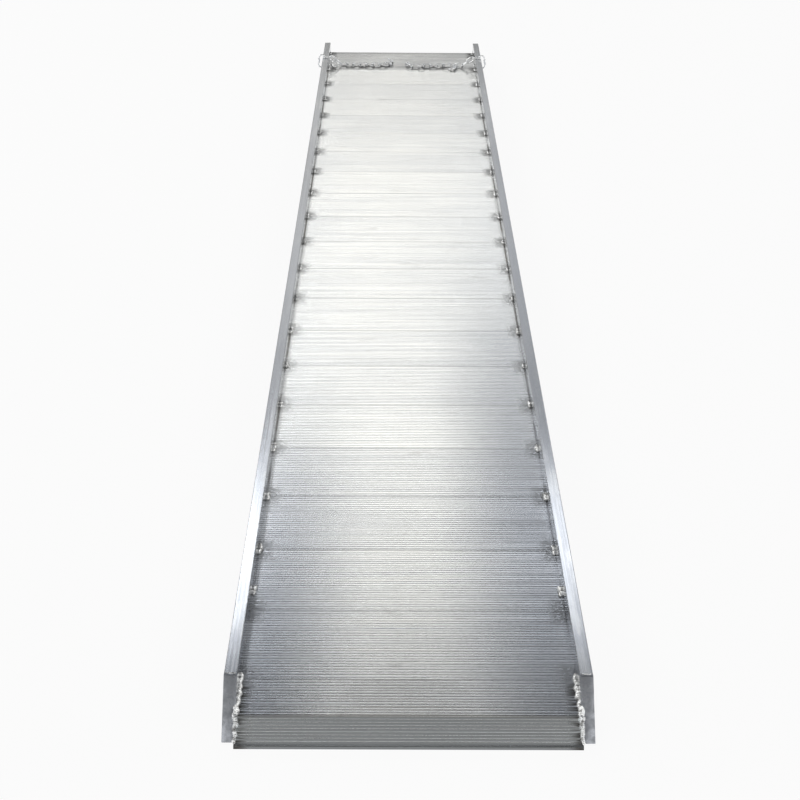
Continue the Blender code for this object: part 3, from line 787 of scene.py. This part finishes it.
def make_toe(deck):
    """The toe is one line carried across the ramp: a rounded nose, a ribbed slope and a ribbed level part."""
    nose_top, nose_round = deck.toe_nose_top, deck.toe_round
    nose_middle = TOE_LOW.y + nose_round
    slope_foot = TOE_LOW.y + deck.toe_nose
    bend = TOE_HIGH.y - deck.toe_flat
    slope = math.atan2(DECK_TOP - nose_top, bend - slope_foot)
    thick = deck.rib_depth + deck.toe_skin
    under_bend = bend + thick * math.tan(slope / 2)
    nose_back = slope_foot + (TOE_LOW.z - nose_top + thick / math.cos(slope)) / math.tan(slope)
    outline = np.concatenate([
        arc((nose_middle, nose_top - nose_round), nose_round, 180, 90, 6),
        ribs((slope_foot, nose_top), (bend, DECK_TOP), deck, False, deck.toe_rib_pitch),
        ribs((bend, DECK_TOP), (TOE_HIGH.y, DECK_TOP), deck, False, deck.rib_pitch)[1:],
        legs(DECK_TOP - thick, (TOE_HIGH.y, TOE_HIGH.y - deck.leg), (under_bend + deck.leg, under_bend))[1:],
        [(nose_back, TOE_LOW.z)],
        arc((nose_middle, TOE_LOW.z + nose_round), nose_round, 270, 180, 6),
    ])
    shape = across(outline, TOE_LOW.x, TOE_HIGH.x)
    add_piece("toe_tread", shape, "tread", "deck_aluminium", "toe_plank", smooth=50)


def make_top_plate(deck):
    """The plain plate at the hooked end, and the cross bar under it."""
    plate = slab(TOP_LOW, TOP_HIGH, (deck.joint_round, deck.plate_round, deck.plate_round, deck.seam_round))
    add_piece("top_plate_sheet", plate, "plate", "deck_aluminium", "top_plate")
    bar = slab(BAR_LOW, BAR_HIGH, deck.bar_round)
    add_piece("hook_cross_bar_stock", bar, "hook", "deck_aluminium", "hook_cross_bar")


def make_ramp_hooks(hook):
    """Each hook is one outline: sloping tail, half round throat, prong and round nose, with rounded edges."""
    edge = TOP_HIGH.y
    near = edge + hook.throat_start
    far = near + hook.throat
    radius = hook.throat / 2
    for side, _ in SIDES:
        node = f"{side}_ramp_hook"
        low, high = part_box(node)
        outline = np.concatenate([
            [(low.y, BAR_LOW.z), ((low.y + edge) / 2, 0.0), (near, 0.0)],
            arc((near + radius, hook.throat_depth - radius), radius, 180, 0, 17),
            [(far, hook.prong_round / 2), (far + hook.prong_round / 2, 0.0)],
            [(high.y - hook.prong_round, 0.0), (high.y, hook.prong_round)],
            arc((high.y - hook.nose_round, hook.nose_top - hook.nose_round), hook.nose_round, 0, 90, 9),
            [(edge, high.z), (low.y, high.z)],
        ])
        piece = add_piece(f"{node}_plate", across(outline, low.x, high.x), "hook", "rail_aluminium", node)
        round_edges(piece, hook.edge_round, 50)


def make_side_rails(rail):
    """Each rail is a channel outline in (x, z) with rounded lips and roots, carried from its sloped cut."""
    wall, lip, web, top = rail.wall, RAIL_HIGH.x, WEB_FACE, RAIL_HIGH.z
    outline = [
        (web, 0.0), (lip, 0.0), (lip, wall), (web + wall, wall),
        (web + wall, top - wall), (lip, top - wall), (lip, top), (web, top),
    ]
    lips, roots = np.array([0.6, 1, 1, 0, 0, 1, 1, 1]), np.array([0, 0, 0, 1, 1, 0, 0, 0])
    section = soften(outline, lips * rail.lip_round + roots * rail.root_round, 6)
    slant = (END_PLATE_HIGH.y - RAIL_LOW.y) / top
    start = RAIL_LOW.y + slant * (section[:, 1] + rail.saw_gap)
    along = start + (RAIL_HIGH.y - start) * np.linspace(0, 1, 5)[:, None]
    for side, sign in SIDES:
        node = f"{side}_side_rail"
        points = np.stack(np.broadcast_arrays(sign * section[:, 0], along, section[:, 1]), -1)
        piece = add_piece(f"{node}_channel", capped(points), "rail", "rail_aluminium", node)
        hole_middle = (sign * (lip - rail.hole_edge), hinge_point(f"{side}_quick_link_swing")[1])
        ring = arc(hole_middle, rail.hole / 2, 0, 348.75, 32)
        levels = (top - 2 * wall, top + wall)
        drill_shape = capped(np.stack([np.insert(ring, 2, level, axis=1) for level in levels]))
        drill = new_skin(f"{side}_hole_drill", drill_shape, "rail")
        change = piece.modifiers.new("hole", "BOOLEAN")
        change.operation = "DIFFERENCE"
        change.solver = "EXACT"
        change.object = drill
        keep_shape(piece)
        bpy.data.objects.remove(drill, do_unlink=True)


def make_end_plates(rail):
    """Each end plate is a slanted strip in (y, z), carried across the rail's flange, with rounded edges."""
    gap = rail.plate_gap
    for side, _ in SIDES:
        node = f"{side}_toe_end_plate"
        low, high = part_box(node)
        far = high.y - (RAIL_LOW.y - low.y) + gap
        outline = [(low.y, low.z), (RAIL_LOW.y - gap, low.z), (high.y, high.z), (far, high.z)]
        piece = add_piece(f"{node}_sheet", across(outline, low.x, high.x), "end", "rail_aluminium", node)
        round_edges(piece, rail.plate_round, 20)


def add_welds(name, shapes):
    """Puts beads into the scene as one piece."""
    add_piece(name, together(shapes), "weld", "deck_aluminium", smooth=60)


def make_deck_welds(weld):
    """A bead where each plank joint meets a rail, each a little other in length, place and height."""
    chance = np.random.default_rng(weld.seed)
    for side, sign in SIDES:
        shapes = []
        for index, joint in enumerate(JOINTS[1:]):
            reach = weld.spot_length * (0.75 + 0.5 * chance.random())
            # the lowest bead is set some way up its plank
            middle = joint + 0.008 * (chance.random() - 0.5) + (0.060 if index == 0 else 0.0)
            y = np.linspace(middle - reach / 2, middle + reach / 2, 6)
            x = sign * (WEB_FACE - 0.0022 + 0.0012 * (chance.random(6) - 0.5))
            z = DECK_TOP + 0.0008 + 0.0010 * (chance.random(6) - 0.5)
            radius = weld.spot_radius * (0.85 + 0.3 * chance.random())
            shapes.append(bead(np.stack([x, y, z], 1), radius, weld, chance))
        add_welds(f"{side}_deck_welds", shapes)


def make_toe_welds(weld, deck):
    """A rippled bead down each side of the toe, a closing blob, and three short beads at each end plate."""
    chance = np.random.default_rng(weld.seed + 1)
    slope_foot = TOE_LOW.y + deck.toe_nose
    bend = TOE_HIGH.y - deck.toe_flat
    half = (END_PLATE_HIGH.x - WEB_FACE) / 2
    seam, top = END_PLATE_HIGH.y - 0.001, RAIL_HIGH.z - 0.001
    for side, sign in SIDES:
        edge = sign * (WEB_FACE - 0.0012)
        middle = sign * (WEB_FACE + half)
        lip = sign * (END_PLATE_HIGH.x - 0.0034)
        runs = [
            (weld.run_radius, [
                (edge, TOE_LOW.y + 0.006, deck.toe_nose_top - 0.002),
                (edge, slope_foot + 0.004, deck.toe_nose_top),
                (edge, bend - 0.002, DECK_TOP - 0.001),
                (edge, bend + 0.004, DECK_TOP),
                (edge, FIRST_JOINT - 0.010, DECK_TOP),
                (edge, FIRST_JOINT + 0.012, DECK_TOP + 0.0005),
            ]),
            (weld.spot_radius, [
                (edge, FIRST_JOINT - 0.012, DECK_TOP),
                (edge, FIRST_JOINT + 0.016, DECK_TOP + 0.001),
            ]),
            (weld.plate_radius, [(middle - half * 0.86, seam, top), (middle + half * 0.86, seam, top)]),
            (weld.lip_radius, [(lip, seam - 0.005, top - 0.005), (lip, seam + 0.003, top)]),
            (weld.short_radius, [
                (sign * (WEB_FACE + 0.001), END_PLATE_LOW.y + 0.001, 0.003),
                (sign * (WEB_FACE + 0.002), END_PLATE_LOW.y + 0.014, 0.016),
            ]),
        ]
        add_welds(f"{side}_toe_welds", [bead(path, radius, weld, chance) for radius, path in runs])


def make_hook_welds(weld):
    """Beads along each hook, where the cross bar meets hooks and rails, and at the top plate's corners."""
    chance = np.random.default_rng(weld.seed + 2)
    under = TOP_LOW.z - 0.0006
    shapes = []

    def lay(radius, start, end, up=(0.0, 0.0, 1.0)):
        shapes.append(bead([start, end], radius, weld, chance, up))

    sideways = (1.0, 0.0, 0.0)
    for side, sign in SIDES:
        low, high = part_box(f"{side}_ramp_hook")
        for x in (low.x - 0.0006, high.x + 0.0006):
            lay(weld.hook_radius, (x, low.y + 0.012, under), (x, TOP_HIGH.y - 0.030, under))
            lay(weld.short_radius, (x, low.y, BAR_LOW.z + 0.003), (x, low.y, under - 0.004), sideways)
        inner = sign * (WEB_FACE - 0.0010)
        for y in (BAR_LOW.y, BAR_HIGH.y):
            lay(weld.short_radius, (inner, y, BAR_LOW.z + 0.004), (inner, y, BAR_HIGH.z - 0.004), sideways)
        lay(weld.far_radius, (inner, TOP_HIGH.y - 0.034, DECK_TOP), (inner, TOP_HIGH.y - 0.008, DECK_TOP))
        lay(weld.near_radius, (inner, TOP_LOW.y + 0.060, DECK_TOP), (inner, TOP_LOW.y + 0.084, DECK_TOP))
    add_welds("top_plate_welds", shapes)


def own_frame(node):
    """Mean of a CAD node's corners, and their directions of most, less and least spread."""
    points = np.array([vertex.co for vertex in frame["nodes"][node].data.vertices], float)
    points = np.unique(np.round(points, 7), axis=0)
    middle = points.mean(0)
    axes = np.linalg.eigh(np.cov((points - middle).T))[1][:, ::-1]
    if np.linalg.det(axes) < 0:
        axes[:, 2] *= -1
    return middle, axes


def make_chain_links(chain):
    """Each link is a round wire along a straight-sided loop, with the swelling of its weld on one side."""
    steps = 13
    path = oval_path(chain.inner_length / 2 + chain.wire / 2, (chain.inner_width + chain.wire) / 2, steps)
    swell = np.exp(-(np.linalg.norm(path - path[steps + 1], axis=1) / chain.swell_reach) ** 2)
    points, faces = wire(path, chain.wire / 2 * (1 + chain.swell * swell), 12, True)
    for node in LINK_NODES:
        middle, axes = own_frame(node)
        shape = points @ axes.T + middle, faces
        add_piece(f"{node}_wire", shape, "zinc", "zinc_steel", node, smooth=60)


def make_quick_links(chain):
    """Each quick link is a round wire along an open loop, threaded at its mouth, with a hexagon nut."""
    bend = (chain.quick_width + chain.quick_wire) / 2
    straight = chain.quick_length - chain.quick_width
    mouth = straight / 2
    threaded = np.arange(mouth + chain.quick_mouth / 2, straight - 0.001, chain.thread / 4)
    level = np.full(len(threaded), -bend)
    path = np.concatenate([
        np.stack([threaded, level], 1),
        arc((straight, 0), bend, -90, 90, 21),
        arc((0, 0), bend, 90, 270, 21),
        np.stack([straight - threaded[::-1], level], 1),
    ])
    at_nut = np.abs(path[:, 0] - mouth) < chain.nut_length / 2 + 0.003
    ridges = np.sin(2 * np.pi * path[:, 0] / chain.thread) + 1
    loop = wire(path, chain.quick_wire / 2 * (1 - chain.thread_cut * ridges * at_nut), 16, False)
    nut = nut_shape(chain, mouth, -bend)
    lean = chain.quick_lean
    for side, sign in SIDES:
        down = np.array([sign * math.sin(lean), 0.0, -math.cos(lean)])
        inward = np.array([-sign * math.cos(lean), 0.0, -math.sin(lean)])
        axes = np.stack([down, inward, np.cross(down, inward)])
        node = f"{side}_quick_link"
        parts = ((f"{node}_wire", loop, 60, node), (f"{node}_hex_nut", nut, 25, f"{node}_nut"))
        for name, (points, faces), smooth, stands_for in parts:
            shape = points @ axes + hinge_point(f"{node}_swing"), faces
            add_piece(name, shape, "zinc", "zinc_steel", stands_for, smooth=smooth)


def nut_shape(chain, middle, side):
    """Hexagon sleeve with a round bore: its radius at turn t is flats / 2 / cos(t wrapped to 30 degrees), and
    no more than a cone at each end allows."""
    turn = full_turn(48)
    wrapped = (turn + np.pi / 6) % (np.pi / 3) - np.pi / 6
    half = chain.nut_length / 2
    rows = np.array([-1.0, -0.97, -0.93, -0.88, -0.6, 0.6, 0.88, 0.93, 0.97, 1.0]) * half
    cone = chain.nut_flats / 2 + (half - np.abs(rows)) * 0.9
    outer = np.minimum(chain.nut_flats / 2 / np.cos(wrapped), cone[:, None])
    radius = np.concatenate([outer, np.full((2, len(turn)), chain.nut_bore)])
    x = middle + np.concatenate([rows, [half, -half]])[:, None]
    points = np.stack(np.broadcast_arrays(x, side + radius * np.cos(turn), radius * np.sin(turn)), -1)
    return points.reshape(-1, 3), grid_faces(len(x), len(turn), True)


# Heading, pitch and roll of each slip hook where it lies, in degrees, the right one's mirrored
SLIP_HOOK_TURNS = {"left": (-18.0, -63.4, 90.0), "right": (-65.0, -1.3, -13.0)}


def make_slip_hooks(chain):
    """Each slip hook is an eye and a tapering arc of wire, melted into one forged shape."""
    centre = chain.eye_radius - chain.wire / 2 - chain.hang_gap
    eye_bend = chain.eye_radius + chain.eye_wire / 2
    eye = wire(arc((centre, 0), eye_bend, 0, 351, 40), chain.eye_wire / 2, 16, True)
    bowl = arc((chain.bowl_forward, chain.bowl_side), chain.bowl_radius, 200, 435, 44)
    start = np.array([[centre + eye_bend, 0.0]])
    path = np.concatenate([start, (start + bowl[:1]) / 2, bowl])
    tapered = np.interp(np.linspace(0, 1, 44), (0, 0.4, 1), (chain.shank, chain.bowl_wire, chain.tip_wire))
    widths = np.concatenate([[chain.eye_wire, (chain.eye_wire + chain.shank) / 2], tapered])
    points, faces = together([eye, wire(path, widths / 2, 20, False, 0.96)])
    for side, sign in SIDES:
        heading, pitch, roll = (math.radians(turn) for turn in SLIP_HOOK_TURNS[side])
        flat = math.cos(pitch)
        along = np.array([math.cos(heading) * flat, math.sin(heading) * flat, math.sin(pitch)])
        level = np.array([-math.sin(heading), math.cos(heading), 0.0])
        width = level * math.cos(roll) + np.cross(along, level) * math.sin(roll)
        along, width = along * (-sign, 1, 1), width * (-sign, 1, 1)
        axes = np.stack([along, width, np.cross(along, width)])
        node = f"{side}_slip_hook"
        shape = points @ axes + hinge_point(f"{node}_swing"), faces
        hook = add_piece(f"{node}_forging", shape, "zinc", "zinc_steel", node)
        melt = hook.modifiers.new("melt", "REMESH")
        melt.mode = "VOXEL"
        melt.voxel_size = chain.forged_detail
        settle = hook.modifiers.new("settle", "SMOOTH")
        settle.factor = 0.5
        settle.iterations = 5
        keep_shape(hook, 180)
        if not hook.data.materials:
            hook.data.materials.append(metal("zinc"))


# Stage

# Brightness of the light's round at heights above the horizon, in degrees, as a share of its brightest part
LIGHT_ROUND = (
    (0, 0.55), (9, 0.40), (12, 0.16), (17, 0.13), (18.3, 0.30), (19.8, 0.64), (22, 0.90), (28, 0.94),
    (31, 0.84), (34, 0.85), (37, 0.91), (39, 0.71), (41, 0.39), (43, 0.19), (46, 0.11), (60, 0.13),
    (90, 0.13),
)
WARM_LIGHT = (1.0, 0.995, 0.97)
COOL_LIGHT = (0.94, 0.97, 1.015)


def make_floor(stage):
    """Plain pale floor that keeps the ramp's shadow and is close to white where it is seen."""
    half = stage.floor_size / 2
    corners = ((-half, -half), (half, -half), (half, half), (-half, half))
    mesh = bpy.data.meshes.new("studio_floor")
    mesh.from_pydata([(x, y, -stage.floor_drop) for x, y in corners], [], [(0, 1, 2, 3)])
    material = bpy.data.materials.new("pale_floor")
    material.use_nodes = True
    made = Nodes(material.node_tree)
    shader = made.tree.nodes["Principled BSDF"]
    for name, value in (("Base Color", stage.floor_colour), ("Roughness", 0.9), ("Specular IOR Level", 0.0)):
        made.give(value, shader.inputs[name])
    rays = made.node("LightPath").outputs
    seen = made.most(made.most(rays["Is Camera Ray"], rays["Is Glossy Ray"]), rays["Is Transmission Ray"])
    white = made.node("Emission").outputs[0]
    blend = made.node("MixShader", made.times(seen, stage.floor_white), shader.outputs[0], white)
    made.give(blend.outputs[0], made.tree.nodes["Material Output"].inputs["Surface"])
    mesh.materials.append(material)
    put("studio_floor", mesh)


def make_light(stage):
    """A round of soft light, its brightness set by height, cooler to the sides, and a large soft lamp."""
    world = bpy.data.worlds.new("soft_round")
    bpy.context.scene.world = world
    world.use_nodes = True
    made = Nodes(world.node_tree)
    x, y, z = made.node("SeparateXYZ", made.node("TexCoord").outputs["Generated"]).outputs
    ramp = made.node("ValToRGB", z)
    ramp.color_ramp.interpolation = "LINEAR"
    elements = ramp.color_ramp.elements
    for index, (height, level) in enumerate(LIGHT_ROUND):
        sine = math.sin(math.radians(height))
        element = elements[index] if index < 2 else elements.new(sine)
        element.position = sine
        element.color = (level, level, level, 1.0)
    aside = made.step("ABSOLUTE", made.plus(x, 0.008))
    # ahead of the camera the round is darker to the sides; behind and beside the ramp it stays even
    ahead = made.spread(y, 0.2, 0.5)
    side_level = made.spread(z, 0.48, 0.58, 0.72, 0.10)
    dimmer = made.minus(1.0, made.times(made.spread(aside, 0.045, 0.115), made.minus(1.0, side_level), ahead))
    # low down the round is the pale wall that other views see
    wall = made.spread(z, 0.10, 0.22, 1.0, 0.0)
    dimmer = made.most(dimmer, wall)
    # two tall soft windows, one for each rail
    leaning = made.minus(z, made.times(x, 0.07))
    window = made.times(
        made.band(aside, 0.092, 0.108, 0.17, 0.20),
        made.band(leaning, 0.555, 0.59, 0.662, 0.692),
        ahead,
        made.minus(1.0, made.times(x, 2.2)),
    )
    cool = made.times(made.spread(aside, 0.03, 0.12), ahead, made.minus(1.0, wall))
    tint = made.mix(cool, WARM_LIGHT, COOL_LIGHT)
    background = made.tree.nodes["Background"]
    strength = made.plus(made.times(dimmer, stage.sky_strength), made.times(window, stage.window_strength))
    made.give(strength, background.inputs["Strength"])
    made.give(made.mix(1.0, ramp.outputs[0], tint, "MULTIPLY"), background.inputs["Color"])

    lamp_data = bpy.data.lights.new("soft_lamp", "AREA")
    lamp_data.energy = stage.lamp_power
    lamp_data.size = stage.lamp_size
    lamp = put("soft_lamp", lamp_data)
    lamp.location = stage.lamp_place
    lamp.rotation_euler = (-lamp.location).to_track_quat("-Z", "Y").to_euler()


def make_camera(stage):
    """Camera at the photograph's place: forward from yaw and pitch, then rolled."""
    yaw, pitch, roll = stage.camera_yaw, stage.camera_pitch, stage.camera_roll
    flat = math.cos(pitch)
    forward = Vector((math.sin(yaw) * flat, math.cos(yaw) * flat, -math.sin(pitch)))
    right = Vector((math.cos(yaw), -math.sin(yaw), 0.0))
    up = right.cross(forward)
    rolled = right * math.cos(roll) + up * math.sin(roll)
    rolled_up = up * math.cos(roll) - right * math.sin(roll)
    data = bpy.data.cameras.new("studio_camera")
    data.sensor_width = 36.0
    data.lens = stage.lens
    data.clip_end = 200.0
    camera = put("studio_camera", data)
    turned = Matrix((rolled, rolled_up, -forward)).transposed().to_4x4()
    camera.matrix_world = Matrix.Translation(stage.camera_place) @ turned
    bpy.context.scene.camera = camera


# Operators


class WALKRAMP_OT_deck_planks(bpy.types.Operator):
    """Make the ribbed deck planks"""

    bl_idname = "walk_ramp.deck_planks"
    bl_label = "Deck planks"

    def execute(self, context):
        make_deck_planks(context.scene.walk_ramp.deck)
        return {"FINISHED"}


class WALKRAMP_OT_toe(bpy.types.Operator):
    """Make the ribbed toe"""

    bl_idname = "walk_ramp.toe"
    bl_label = "Toe"

    def execute(self, context):
        make_toe(context.scene.walk_ramp.deck)
        return {"FINISHED"}


class WALKRAMP_OT_top_plate(bpy.types.Operator):
    """Make the top plate and its cross bar"""

    bl_idname = "walk_ramp.top_plate"
    bl_label = "Top plate"

    def execute(self, context):
        make_top_plate(context.scene.walk_ramp.deck)
        return {"FINISHED"}


class WALKRAMP_OT_ramp_hooks(bpy.types.Operator):
    """Make the two plate hooks"""

    bl_idname = "walk_ramp.ramp_hooks"
    bl_label = "Ramp hooks"

    def execute(self, context):
        make_ramp_hooks(context.scene.walk_ramp.hook)
        return {"FINISHED"}


class WALKRAMP_OT_side_rails(bpy.types.Operator):
    """Make the two channel rails"""

    bl_idname = "walk_ramp.side_rails"
    bl_label = "Side rails"

    def execute(self, context):
        make_side_rails(context.scene.walk_ramp.rail)
        return {"FINISHED"}


class WALKRAMP_OT_end_plates(bpy.types.Operator):
    """Make the plates on the rails' sloped ends"""

    bl_idname = "walk_ramp.end_plates"
    bl_label = "Toe end plates"

    def execute(self, context):
        make_end_plates(context.scene.walk_ramp.rail)
        return {"FINISHED"}


class WALKRAMP_OT_welds(bpy.types.Operator):
    """Make the weld beads of deck, toe and hooks"""

    bl_idname = "walk_ramp.welds"
    bl_label = "Welds"

    def execute(self, context):
        ramp = context.scene.walk_ramp
        make_deck_welds(ramp.weld)
        make_toe_welds(ramp.weld, ramp.deck)
        make_hook_welds(ramp.weld)
        return {"FINISHED"}


class WALKRAMP_OT_quick_links(bpy.types.Operator):
    """Make the threaded links and their nuts"""

    bl_idname = "walk_ramp.quick_links"
    bl_label = "Quick links"

    def execute(self, context):
        make_quick_links(context.scene.walk_ramp.chain)
        return {"FINISHED"}


class WALKRAMP_OT_chain_links(bpy.types.Operator):
    """Make the chain links"""

    bl_idname = "walk_ramp.chain_links"
    bl_label = "Chain links"

    def execute(self, context):
        make_chain_links(context.scene.walk_ramp.chain)
        return {"FINISHED"}


class WALKRAMP_OT_slip_hooks(bpy.types.Operator):
    """Make the slip hooks"""

    bl_idname = "walk_ramp.slip_hooks"
    bl_label = "Slip hooks"

    def execute(self, context):
        make_slip_hooks(context.scene.walk_ramp.chain)
        return {"FINISHED"}


class WALKRAMP_OT_stage(bpy.types.Operator):
    """Make the floor, the light and the camera"""

    bl_idname = "walk_ramp.stage"
    bl_label = "Stage"

    def execute(self, context):
        stage = context.scene.walk_ramp.stage
        make_floor(stage)
        make_light(stage)
        make_camera(stage)
        context.scene.view_settings.view_transform = "Standard"
        return {"FINISHED"}


OPERATORS = (
    WALKRAMP_OT_deck_planks,
    WALKRAMP_OT_toe,
    WALKRAMP_OT_top_plate,
    WALKRAMP_OT_ramp_hooks,
    WALKRAMP_OT_side_rails,
    WALKRAMP_OT_end_plates,
    WALKRAMP_OT_welds,
    WALKRAMP_OT_quick_links,
    WALKRAMP_OT_chain_links,
    WALKRAMP_OT_slip_hooks,
    WALKRAMP_OT_stage,
)


class WALKRAMP_PT_panel(bpy.types.Panel):
    """The walk ramp's pieces and stage"""

    bl_idname = "WALKRAMP_PT_panel"
    bl_label = "Walk ramp"
    bl_space_type = "VIEW_3D"
    bl_region_type = "UI"
    bl_category = "Walk ramp"

    def draw(self, context):
        ramp = context.scene.walk_ramp
        for operator in OPERATORS:
            self.layout.operator(operator.bl_idname)
        for settings in (ramp.deck, ramp.rail, ramp.hook, ramp.weld, ramp.chain, ramp.stage):
            box = self.layout.box()
            for name in settings.__annotations__:
                box.prop(settings, name)


CLASSES = (
    DeckSettings,
    RailSettings,
    HookSettings,
    WeldSettings,
    ChainSettings,
    StageSettings,
    WalkRampSettings,
    *OPERATORS,
    WALKRAMP_PT_panel,
)


def register():
    for item in CLASSES:
        bpy.utils.register_class(item)
    bpy.types.Scene.walk_ramp = bpy.props.PointerProperty(type=WalkRampSettings)


def unregister():
    del bpy.types.Scene.walk_ramp
    for item in reversed(CLASSES):
        bpy.utils.unregister_class(item)


def main():
    """Builds every piece and the stage."""
    register()
    bpy.ops.walk_ramp.deck_planks()
    bpy.ops.walk_ramp.toe()
    bpy.ops.walk_ramp.top_plate()
    bpy.ops.walk_ramp.ramp_hooks()
    bpy.ops.walk_ramp.side_rails()
    bpy.ops.walk_ramp.end_plates()
    bpy.ops.walk_ramp.welds()
    bpy.ops.walk_ramp.quick_links()
    bpy.ops.walk_ramp.chain_links()
    bpy.ops.walk_ramp.slip_hooks()
    bpy.ops.walk_ramp.stage()


if __name__ == "__main__":
    main()
